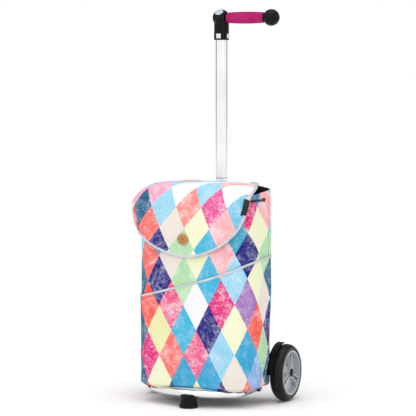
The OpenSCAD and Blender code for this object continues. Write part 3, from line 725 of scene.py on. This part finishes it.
def bag_rings(ring_s):
    """The shell's rings from the middle of the bottom up to the rim, over it and down the lining."""
    edge_r = 9 * MM
    low = BAG_LO.z + edge_r
    vertices, uvs, dark = [], [], []

    def add_ring(share, inset, drop=0.0, lining=False):
        """share is 0 at the bottom edge and 1 at the rim; inset is the depth below the outer cloth."""
        for s in ring_s:
            top = rim_height(s) - 2 * MM
            z = low + (top - low) * share - drop
            level = min(max(z, BAG_LO.z), BAG_HI.z)
            point = bag_point(s, level, -inset)
            if inset > BAG_CORNER_R:
                shrink = 1 - (inset - BAG_CORNER_R) / BAG_HALF_D
                core, _ = plan_point(s, -BAG_CORNER_R)
                point = Vector((core.x * shrink, BAG_MID_Y + (core.y - BAG_MID_Y) * shrink, 0))
            point.z = z + bottom_sag(s, level)
            vertices.append(point)
            uvs.append(print_place(s, z - (inset if share == 0 and not lining else 0.0)))
        dark.append(lining)

    for inset in (75, 60, 44, 34, 24, 16):
        add_ring(0, inset * MM, edge_r, lining=inset > 20)
    for k in range(1, 7):
        a = math.pi / 2 * k / 6
        add_ring(0, edge_r * (1 - math.sin(a)), edge_r * math.cos(a))
    for k in range(1, 151):
        add_ring(k / 150, 0.0)
    for k in range(1, 5):
        a = math.pi * k / 4
        add_ring(1, 1.3 * MM * (1 - math.cos(a)), -1.6 * MM * math.sin(a), lining=k > 2)
    for k in range(1, 31):
        add_ring(1 - k / 30, 2.6 * MM, lining=True)
    for inset in (20, 44, 75):
        add_ring(0, inset * MM, 4 * MM, lining=True)
    return vertices, uvs, dark


def close_print_seam(mesh):
    """The print's seam runs up the middle of the back: faces there take their left points past the end."""
    layer = mesh.uv_layers["print"]
    for face in mesh.polygons:
        loops = list(face.loop_indices)
        values = [layer.data[k].uv.x for k in loops]
        if len(loops) == 4 and max(values) - min(values) > GIRTH_HALF:
            for k in loops:
                if layer.data[k].uv.x < 0:
                    layer.data[k].uv.x += 2 * GIRTH_HALF


def make_bag_body():
    """The bag's shell: printed cloth outside, black lining inside, open at the top."""
    count = 360
    vertices, uvs, dark = bag_rings(girth_steps(count))
    bag = new_object("bag_body", vertices, tube_faces(len(dark), count), uvs)
    close_print_seam(bag.data)
    dress(bag, "frame", "bag_print", "lining", node="bag_shell")
    for index, face in enumerate(bag.data.polygons):
        ring = index // count
        if ring >= len(dark) - 1 or dark[ring]:
            face.material_index = 1


SEAM_MID_Z = 313 * MM
SEAM_SLOPE = 0.2625
SEAM_SIDE_SLOPE = 0.1
SEAM_CURVE = 0.5         # per metre: the seam climbs faster towards the right
POCKET_END = SIDE_END - 6 * MM


def seam_height(s):
    """The pocket's upper edge: it climbs to the right, and a little more round the side."""
    p, _ = plan_point(s)
    front = SEAM_MID_Z + SEAM_SLOPE * p.x + SEAM_CURVE * max(0.0, p.x) ** 2
    return front + SEAM_SIDE_SLOPE * (p.y - BAG_LO.y)


def pocket_steps(count):
    return [-POCKET_END + 2 * POCKET_END * k / count for k in range(count + 1)]


def make_pocket():
    """The second layer of cloth that makes the front pocket."""
    bottom = BAG_LO.z + 6 * MM

    def cloth(up, across):
        s = POCKET_END * (2 * across - 1)
        z = bottom + (seam_height(s) - bottom) * up
        ends = smooth_step(POCKET_END - abs(s), 0, 12 * MM)
        gape = smooth_step(up, 0.8, 1.0) * ends
        return bag_point(s, z, (0.5 + 1.1 * ends + gape) * MM), print_place(s, z)

    pocket = cloth_sheet("pocket_front", 90, 220, cloth)
    thicken(pocket, 0.9 * MM)
    dress(pocket, "frame", "bag_print", node="pocket_panel")


def make_pocket_binding():
    """The silver binding along the pocket's upper edge."""
    stations = []
    for s in pocket_steps(260):
        z = seam_height(s)
        point = bag_point(s, z, (1.2 + 1.8 * smooth_step(POCKET_END - abs(s), 0, 12 * MM)) * MM)
        ends = [bag_point(s + d, seam_height(s + d), 3.0 * MM) for d in (-MM, MM)]
        forward = (ends[1] - ends[0]).normalized()
        side = forward.cross(bag_normal(s, z)).normalized()
        stations.append((point, side, forward.cross(side).normalized()))
    trim = sweep("pocket_binding", stations, band_profile(5.6 * MM, 2.4 * MM))
    dress(trim, "frame", "piping", node="pocket_piping")


def make_side_seams():
    """A lapped seam up each side, which closes the pocket's ends."""
    half_width = 4.2 * MM
    bottom = BAG_LO.z + 4 * MM
    for name, middle in (("left_side_seam", -POCKET_END), ("right_side_seam", POCKET_END)):
        top = rim_height(middle) - 4 * MM

        def cloth(up, across):
            s = middle + half_width * (2 * across - 1)
            z = bottom + (top - bottom) * up
            return bag_point(s, z, (0.4 + 2.4 * math.sin(math.pi * across) ** 0.7) * MM), print_place(s, z)

        seam = cloth_sheet(name, 120, 8, cloth)
        thicken(seam, 0.7 * MM)
        dress(seam, "frame", "bag_print")


# ---------- the flap ----------
HINGE_Y = FLAP_HI.y
TOP_Z = FLAP_HI.z - 4.3 * MM
FRONT_Y = BUTTON_HI.y - 2 * MM
FOLD_R = 60 * MM
FLAP_LOW_Z = FLAP_LO.z - 2 * MM
TOP_LEN = HINGE_Y - (FRONT_Y + FOLD_R)
FOLD_LEN = FOLD_R * math.pi / 2
HANG_LEN = TOP_Z - FOLD_R - FLAP_LOW_Z
FLAP_LEN = TOP_LEN + FOLD_LEN + HANG_LEN
TONGUE = 146 * MM
TONGUE_START = FLAP_LEN - TONGUE
TONGUE_SKEW = 3 * MM
TONGUE_POWER = 1.2
FLAP_SHIFT = -10 * MM
# for each side: half width, where the droop starts, its radius, and the width's share at the hinge
LEFT_SIDE = (180 * MM, 80 * MM, 110 * MM, 0.76)
RIGHT_SIDE = (175 * MM, 90 * MM, 112 * MM, 0.62)
STAND_OFF = 9 * MM            # how far the right edge stands off the bag
FLAP_PRINT_LEAN = 0.198
FLAP_PRINT_STRETCH = 1.19
FLAP_ROW_UP = 74 * MM         # the first row of junctions stands this far above the tip
FLAP_ROW_X = 18.8 * MM
HINGE_LAP = 9 * MM            # how far the hinge strip reaches onto the flap, and down the bag's back


def flap_print(u, v):
    """Where a point of the flap lies in the print, whose columns lean to the right as they rise."""
    up = FLAP_LEN - v - FLAP_ROW_UP
    x = u - FLAP_ROW_X - FLAP_PRINT_LEAN * up
    return x, JUNCTION_Z + DIAMOND_H / 2 + FLAP_PRINT_STRETCH * up + PRINT_SLOPE * x


def flap_width(v, side):
    """Half the flap's width at v metres from its hinge: narrower where it joins the bag's back."""
    half_width, _, _, hinge_share = side
    return half_width * (hinge_share + (1 - hinge_share) * smooth_step(v, -30 * MM, 150 * MM))


def flap_profile(v):
    """(y, z, outward normal) of the flap's middle line at v metres from the hinge."""
    arch = 3 * MM * math.sin(math.pi * unit(v / (TOP_LEN + FOLD_LEN)))
    if v < TOP_LEN:
        return HINGE_Y - v, TOP_Z + arch, Vector((0, 0, 1))
    if v < TOP_LEN + FOLD_LEN:
        turn = (v - TOP_LEN) / FOLD_R
        y = FRONT_Y + FOLD_R - FOLD_R * math.sin(turn)
        z = TOP_Z - FOLD_R + FOLD_R * math.cos(turn) + arch
        return y, z, Vector((0, -math.sin(turn), math.cos(turn)))
    down = v - TOP_LEN - FOLD_LEN
    share = min(1.0, down / HANG_LEN)
    belly = 5 * MM * math.sin(math.pi * share) - 5 * MM * share ** 2
    return FRONT_Y - belly, TOP_Z - FOLD_R - down, Vector((0, -1, 0))


def flap_point(u, v, lift=0.0):
    """A point on the flap: u across from its middle, v along from the hinge."""
    y, z, normal = flap_profile(v)
    _, start, radius, _ = LEFT_SIDE if u < 0 else RIGHT_SIDE
    settle = smooth_step(v, 0.0, 100 * MM)
    turn = max(0.0, abs(u) - start) / radius
    across = abs(u) if turn == 0 else start + radius * math.sin(turn)
    droop = radius * (1 - math.cos(turn)) * (0.88 + 0.12 * settle)
    ripple = 1.5 * MM * noise.noise(Vector((u * 13.0, v * 10.0, 4.7)))
    ripple += 0.8 * MM * noise.noise(Vector((u * 30.0, v * 22.0, 9.9)))
    edge = smooth_step(u, 100 * MM, 170 * MM)
    between = smooth_step(v, 30 * MM, 100 * MM) * smooth_step(300 * MM - v, 0.0, 80 * MM)
    lift += STAND_OFF * edge * between
    x = FLAP_SHIFT * smooth_step(v, 20 * MM, 150 * MM) + math.copysign(across, u)
    return Vector((x, y, z)) + normal * (lift - droop + ripple * settle)


def flap_normal(u, v):
    return -surface_normal(flap_point, u, v)


def flap_cloth(share, turn):
    """(u, v) on the flap: share runs from hinge to free edge, turn from -90 degrees, left, to 90, right."""
    v = share * (TONGUE_START + TONGUE * math.cos(turn))
    side = LEFT_SIDE if turn < 0 else RIGHT_SIDE
    reach = abs(math.sin(turn)) ** TONGUE_POWER
    return math.copysign(flap_width(v, side) * reach, turn) + TONGUE_SKEW * math.cos(turn) ** 2 * share, v


def flap_outline():
    """(u, v) along the flap's free edge, from the back left round the tongue to the back right."""
    side_steps, tongue_steps = 60, 140
    left = [flap_cloth(k / side_steps, -math.pi / 2) for k in range(side_steps)]
    tongue = [flap_cloth(1.0, math.pi * (k / tongue_steps - 0.5)) for k in range(tongue_steps + 1)]
    right = [flap_cloth(1 - k / side_steps, math.pi / 2) for k in range(1, side_steps + 1)]
    return left + tongue + right


def on_flap(x, z):
    """(u, v) of the point of the flap's hanging front at x and z."""
    return x - FLAP_SHIFT, TOP_LEN + FOLD_LEN + TOP_Z - FOLD_R - z


def make_flap_hinge():
    """The flap's cloth goes on over the rim and is sewn to the bag's back."""
    across, rim_rows, bend_rows = 120, 8, 14
    vertices, uvs, sewn, normals = [], [], [], []
    for i in range(across + 1):
        share = 2 * i / across - 1
        u = share * flap_width(0.0, RIGHT_SIDE if share > 0 else LEFT_SIDE)
        s = math.copysign(GIRTH_HALF - abs(u), u)
        rim = rim_height(s)
        column = [bag_point(s, rim - HINGE_LAP * (1 - j / rim_rows), 1.1 * MM) for j in range(rim_rows + 1)]
        over = column[-1]
        end = flap_point(u, HINGE_LAP, 1.8 * MM)
        knee = Vector((over.x, over.y, max(end.z, rim + 2 * MM)))
        for j in range(1, bend_rows + 1):
            t = j / bend_rows
            column.append(over.lerp(knee, t).lerp(knee.lerp(end, t), t))
        run = HINGE_LAP
        for j, point in enumerate(column):
            run -= (point - column[j - 1]).length if j else 0.0
            vertices.append(point)
            uvs.append(flap_print(u, -run))
        sewn.append(bag_point(s, rim - HINGE_LAP + 2.5 * MM, 1.7 * MM))
        normals.append(bag_normal(s, rim - HINGE_LAP))
    strip = new_object("flap_hinge", vertices, grid_faces(across + 1, rim_rows + bend_rows + 1), uvs)
    thicken(strip, 1.0 * MM)
    dress(strip, None, "flap_print")
    on_bag, on_top = (0, BAG_HI.y, BAG_HI.z - 6 * MM), (0, HINGE_Y - HINGE_LAP, TOP_Z)
    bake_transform(strip)
    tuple(on_bag)
    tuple(on_top)
    dress(stitches("hinge_stitches", sewn, normals), "frame", "thread")


def make_flap():
    """The flap's lined cloth, its binding and a row of stitches: (the cloth, what is sewn on it)."""
    def cloth(along, across):
        u, v = flap_cloth(along, math.radians(90 * (2 * across - 1)))
        return flap_point(u, v), flap_print(u, v)

    flap = cloth_sheet("flap_cloth", 170, 150, cloth, flip=True)
    thicken(flap, 2.0 * MM).material_offset = 1
    dress(flap, "flap", "flap_print", "lining", node="bag_flap")
    outline = flap_outline()
    stations, inner, normals = [], [], []
    for k, (u, v) in enumerate(outline):
        before = outline[max(0, k - 1)]
        after = outline[min(len(outline) - 1, k + 1)]
        point, normal = flap_point(u, v), flap_normal(u, v)
        tangent = (flap_point(*after) - flap_point(*before)).normalized()
        side = tangent.cross(normal).normalized()
        stations.append((point, side, side.cross(tangent).normalized()))
        inner.append(point - side * 6.4 * MM + normal * 1.1 * MM)
        normals.append(normal)
    binding = sweep("flap_binding", stations, band_profile(6.6 * MM, 4.2 * MM, -1.6 * MM))
    dress(binding, "flap", "piping", node="flap_piping")
    seam = stitches("flap_stitches", inner, normals)
    dress(seam, "flap", "thread")
    return flap, [binding, seam]


def make_button():
    """A turned wooden button: a raised rim, a dished face and a shallow groove."""
    radius = (BUTTON_HI.x - BUTTON_LO.x) / 2
    thick = BUTTON_HI.y - BUTTON_LO.y
    u, v = on_flap((BUTTON_LO.x + BUTTON_HI.x) / 2, BUTTON_LO.z + radius)
    outline = millimetres([(0.2, 0), (radius / MM - 1.2, 0), (radius / MM - 0.3, 0.5), (radius / MM, 1.6)])
    # the face: distance in from the edge, and depth below the top
    face = ((0, 2.4), (0.4, 1.2), (1.4, 0.5), (2.8, 0.4), (3.4, 0.9), (4.2, 0.9), (4.8, 0.5), (8, 0.9))
    outline += [(radius - inward, thick - depth) for inward, depth in millimetres(face)]
    outline += [(4 * MM, thick - 1.3 * MM), (0.2 * MM, thick - 1.35 * MM)]
    button = turned("flap_button", outline, flap_point(u, v, -0.6 * MM), flap_normal(u, v))
    return dress(button, "flap", "button_wood", node="wood_button")


def make_label():
    """A plain woven label folded over the flap's right edge."""
    length, width, overhang = 40 * MM, 15.5 * MM, 2.5 * MM
    edge = flap_outline()
    low_v = TONGUE_START - 12 * MM
    k = min(range(len(edge) // 2 + 1, len(edge)), key=lambda i: abs(edge[i][1] - low_v))
    path, run = [], 0.0
    while run < length:
        path.append(Vector(edge[k]))
        run += (flap_point(*edge[k - 1]) - flap_point(*edge[k])).length
        k -= 1

    def cloth(down, across):
        at = (len(path) - 1) * down
        below = min(int(at), len(path) - 2)
        u, v = path[below].lerp(path[below + 1], at - below)
        point = flap_point(u + overhang - width * (1 - across), v, 3.0 * MM)
        return point, (width * across, length * down)

    label = cloth_sheet("flap_label", 24, 10, cloth)
    thicken(label, 1.0 * MM)
    return dress(label, "flap", "label", node="label_tab")


# ---------- trim and frame pieces ----------
TRAY_BOW_R = 191 * MM
TRAY_CORNER_R = 30 * MM


def make_tray_bend():
    """The bowed tray tube as one smooth bend."""
    r = (TRAY_HI.z - TRAY_LO.z) / 2
    z = (TRAY_HI.z + TRAY_LO.z) / 2
    half = TRAY_HI.x - r
    bow_y = TRAY_LO.y + r + TRAY_BOW_R
    corner_x = half - TRAY_CORNER_R
    corner_y = bow_y - math.sqrt((TRAY_BOW_R - TRAY_CORNER_R) ** 2 - corner_x ** 2)
    corner_a = math.atan2(corner_y - bow_y, corner_x)

    def arc(x, y, radius, start, end, count):
        turns = [start + (end - start) * k / count for k in range(count + 1)]
        return [Vector((x + radius * math.cos(a), y + radius * math.sin(a), z)) for a in turns]

    route = [Vector((half, TRAY_HI.y, z))]
    route += arc(corner_x, corner_y, TRAY_CORNER_R, 0, corner_a, 14)
    route += arc(0, bow_y, TRAY_BOW_R, corner_a, -math.pi - corner_a, 60)[1:-1]
    route += arc(-corner_x, corner_y, TRAY_CORNER_R, -math.pi - corner_a, -math.pi, 14)
    route += [Vector((-half, TRAY_HI.y, z))]
    tray = sweep("tray_bend", route_stations(route), circle_profile(r, 32))
    dress(tray, "tray", "cross_aluminium", node="tray_tube")


EYELET_Y = BAG_LO.y + 92.5 * MM
CORNER_EYELET = math.radians(-30)
CORD_Z = (CORD_LO.z + CORD_HI.z) / 2
CORD_R = (CORD_HI.z - CORD_LO.z) / 2
CORD_PROUD = 0.4 * MM         # between the bare cord and the bag
CORD_SUNK = 3.2 * MM          # between the hidden cord and the bag's outside
SIDE_EYELET_S = SIDE_START + EYELET_Y - (BAG_MID_Y - BAG_HALF_D + BAG_CORNER_R)
CORNER_EYELET_S = FRONT_HALF + BAG_CORNER_R * (math.pi / 2 + CORNER_EYELET)


def make_drawstring():
    """The braided cord: hidden in the hem, it shows between the two eyelets."""
    points = []
    hidden, bare = 150, 30

    def add_point(s, lift, drop=0.0):
        points.append(bag_point(s, CORD_Z, lift))
        points[-1].z = CORD_Z - drop

    for k in range(hidden):
        s = SIDE_EYELET_S + (2 * GIRTH_HALF - SIDE_EYELET_S + CORNER_EYELET_S) * k / hidden
        add_point(s if s < GIRTH_HALF else s - 2 * GIRTH_HALF,
                  -(CORD_SUNK + CORD_R) if k else CORD_R + CORD_PROUD)
    for k in range(bare):
        t = k / bare
        bow = math.sin(math.pi * t) * MM
        s = CORNER_EYELET_S + (SIDE_EYELET_S - CORNER_EYELET_S) * t
        add_point(s, CORD_R + CORD_PROUD + 0.8 * bow, 0.4 * bow)
    stations = route_stations(points, closed=True)
    cord = sweep("drawstring_cord", stations + stations[:1], circle_profile(CORD_R, 14))
    dress(cord, "frame", "cord", node="drawstring")


def make_eyelets():
    """Domed ring grommets where the cord passes through the bag."""
    outline = millimetres([(2.6, -2.5), (2.6, 0.6), (3.0, 1.4), (3.8, 1.8), (4.8, 1.4), (5.3, 0.5),
                           (5.3, -0.4), (3.2, -0.4), (3.2, -2.5), (2.6, -2.5)])
    sides = 40
    vertices, faces = [], []
    for s in (SIDE_EYELET_S, CORNER_EYELET_S):
        base = len(vertices)
        vertices += lathe(outline, bag_point(s, CORD_Z, 0.4 * MM), bag_normal(s, CORD_Z), sides)
        faces += [tuple(base + v for v in face) for face in grid_faces(len(outline), sides, wrap=True)]
    eyelets = new_object("cord_eyelets", vertices, faces)
    dress(eyelets, "frame", "eyelet_metal", node="eyelets")


def make_base_board():
    """The stiffening board in the bag's bottom, with rounded edges."""
    lo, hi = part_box("base_board")
    count = 160
    grow = (hi.x - lo.x) / 2 - BAG_HALF_W
    edge = 0.6 * MM
    rings = ((40, lo.z), (2, lo.z), (0.5, lo.z + edge), (0.5, hi.z - edge), (2, hi.z), (40, hi.z))
    vertices = []
    for inset, z in rings:
        for s in girth_steps(count):
            p, _ = plan_point(s, grow - inset * MM)
            p.z = z
            vertices.append(p)
    board = new_object("bag_board", vertices, tube_faces(len(rings), count))
    dress(board, "frame", "board", node="base_board")


def middle_of(node):
    """The x and z of a node's middle."""
    lo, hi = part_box(node)
    return (lo.x + hi.x) / 2, (lo.z + hi.z) / 2


def make_stud():
    """The snap stud on the bag's front, under the button."""
    outline = millimetres([(0.2, 0), (8, 0), (8, 0.8), (7.2, 1.4), (3.4, 1.6), (2.6, 2.4), (3.0, 4.6),
                           (2.4, 5.6), (0.2, 5.8)])
    stud = turned("bag_stud", outline, bag_point(*middle_of("stud_post"), 0.2 * MM), (0, -1, 0), 40)
    dress(stud, "frame", "steel", node="stud_post")


def make_stud_cap():
    """The snap's socket inside the flap, behind the button."""
    u, v = on_flap(*middle_of("stud_cap"))
    outline = millimetres([(3.4, 0), (8, 0), (8, 1.0), (6.8, 2.0), (4.4, 2.4), (3.4, 1.8), (3.4, 0)])
    cap = turned("flap_stud_cap", outline, flap_point(u, v, -1.2 * MM), -flap_normal(u, v), 40)
    return dress(cap, "flap", "steel", node="stud_cap")


KNUCKLE_R = 22 * MM
BADGE_TILT = math.radians(40.5)


def make_badge():
    """The round badge in the top of the knuckle: a smooth dome inside a fine raised ring."""
    lo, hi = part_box("head_badge")
    _, housing_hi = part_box("head_housing")
    centre = (0, COLUMN_Y - 3 * MM, housing_hi.z - KNUCKLE_R)
    radius = (hi.x - lo.x) / 2
    ring = ((0.1, 18.6), (0.1, 19.2), (0.5, 19.7), (1.4, 19.7), (1.7, 19.3))
    outline = [(0.2 * MM, 18.6 * MM)] + [(radius - inward, height) for inward, height in millimetres(ring)]
    for k in range(1, 9):
        r = (radius - 1.9 * MM) * (1 - k / 8.2)
        outline.append((r, 20.9 * MM - 1.5 * MM * (r / radius) ** 2))
    badge = turned("knuckle_badge", outline, centre, (0, -math.sin(BADGE_TILT), math.cos(BADGE_TILT)), 72)
    dress(badge, "head", "badge_plastic", node="head_badge")


def stitch_row(name, steps, height, lift):
    """Stitches round the bag at the given steps; height(s) is how high they run."""
    points = [bag_point(s, height(s), lift) for s in steps]
    row = stitches(name, points, [bag_normal(s, height(s)) for s in steps])
    dress(row, "frame", "thread")


def make_seam_stitches():
    """Rows of stitches: under the rim, below the drawstring's hem, and along the pocket's binding."""
    girth = girth_steps(700)
    bare_rim = [s for s in girth if abs(s) <= SIDE_END + 10 * MM]
    stitch_row("hem_stitches_top", bare_rim, lambda s: rim_height(s) - 9 * MM, 0.2 * MM)
    stitch_row("hem_stitches_low", girth, lambda s: rim_height(s) - 42 * MM, 0.2 * MM)
    stitch_row("pocket_stitches", pocket_steps(600), lambda s: seam_height(s) - 4.6 * MM, 3.4 * MM)


# ---------- stage ----------
VIEW_AZIMUTH = math.radians(25.0)
VIEW_HEIGHT = 0.90
VIEW_DISTANCE = 5.3
VIEW_DROP = 0.0768            # how far the line of sight falls in each metre
VIEW_SHIFT = 35 * MM          # the aim lies this far left of the column
VIEW_ANGLE = math.radians(11.635)
ROOM_LIGHT = 0.66


def make_floor():
    size = 12.0
    corners = [(-size, -size, 0), (size, -size, 0), (size, size, 0), (-size, size, 0)]
    floor = new_object("floor", corners, [(0, 1, 2, 3)], smooth=False)
    paint = Paint("pale floor", Roughness=1.0, Specular_IOR_Level=0.0)
    paint.colour(paint.mix(paint.noise(paint.place(), 3.0, 3.0), rgb("fbfbfb"), rgb("ffffff")))
    floor.data.materials.append(paint.material)


def make_world():
    """A white studio. Reflections show it darker behind the object, so the metal tubes have grey edges."""
    world = bpy.data.worlds.new("studio")
    bpy.context.scene.world = world
    world.use_nodes = True
    nodes = Nodes(world.node_tree)
    dot = nodes.add("VectorMath", operation="DOT_PRODUCT")
    nodes.feed(dot.inputs[0], nodes.add("TexCoord").outputs["Generated"])
    dot.inputs[1].default_value = (-math.sin(VIEW_AZIMUTH), math.cos(VIEW_AZIMUTH), 0)
    behind = nodes.remap(dot.outputs["Value"], 0.15, 0.55, 0.0, 0.7, smooth=True)
    rays = nodes.add("LightPath").outputs
    shade = nodes.math("MULTIPLY", nodes.math("SUBTRACT", 1.0, behind), rays["Is Glossy Ray"])
    soft = nodes.math("MULTIPLY", nodes.math("SUBTRACT", 1.0, rays["Is Glossy Ray"]), ROOM_LIGHT)
    strength = nodes.math("MAXIMUM", rays["Is Camera Ray"], nodes.math("ADD", shade, soft))
    nodes.fill(world.node_tree.nodes["Background"], Strength=strength, Color=(1.0, 1.0, 1.0, 1.0))


def area_light(name, place, size, power):
    """A rectangular lamp that faces the object's middle."""
    light = bpy.data.lights.new(name, "AREA")
    light.shape = "RECTANGLE"
    light.energy = power
    light.size, light.size_y = size
    add_object(name, light, place, Vector((0, 0, 0.5)))


def make_lights():
    area_light("key", (-1.2, -3.2, 1.9), (0.14, 0.45), 11)
    area_light("fill", (2.9, -1.9, 1.6), (0.12, 0.45), 8)
    area_light("accent", (1.0, -3.4, 2.4), (0.14, 0.20), 5)
    sun = bpy.data.lights.new("overhead", "SUN")
    sun.energy = 1.2
    sun.angle = math.radians(70)
    add_object("overhead", sun).rotation_euler = (math.radians(12), 0, math.radians(20))


def make_camera():
    """A long lens from the front right, a little below the grip and looking slightly down."""
    right = Vector((math.cos(VIEW_AZIMUTH), math.sin(VIEW_AZIMUTH), 0))
    away = Vector((-math.sin(VIEW_AZIMUTH), math.cos(VIEW_AZIMUTH), 0))
    aim = Vector((0, COLUMN_Y, VIEW_HEIGHT - VIEW_DROP * VIEW_DISTANCE)) - right * VIEW_SHIFT
    data = bpy.data.cameras.new("camera")
    data.sensor_width = 36.0
    data.lens = data.sensor_width / 2 / math.tan(VIEW_ANGLE / 2)
    place = Vector((aim.x, aim.y, VIEW_HEIGHT)) - away * VIEW_DISTANCE
    bpy.context.scene.camera = add_object("camera", data, place, aim)


bpy.context.scene.view_settings.view_transform = "Standard"
make_camera()
make_lights()
make_floor()
make_world()
paint_cad_nodes()
make_bag_body()
make_pocket()
make_pocket_binding()
make_side_seams()
make_flap_hinge()
flap_piece, flap_trim = make_flap()
flap_trim + [make_button(), make_label(), make_stud_cap()]
make_drawstring()
make_eyelets()
make_base_board()
make_stud()
make_seam_stitches()
make_badge()
make_tray_bend()
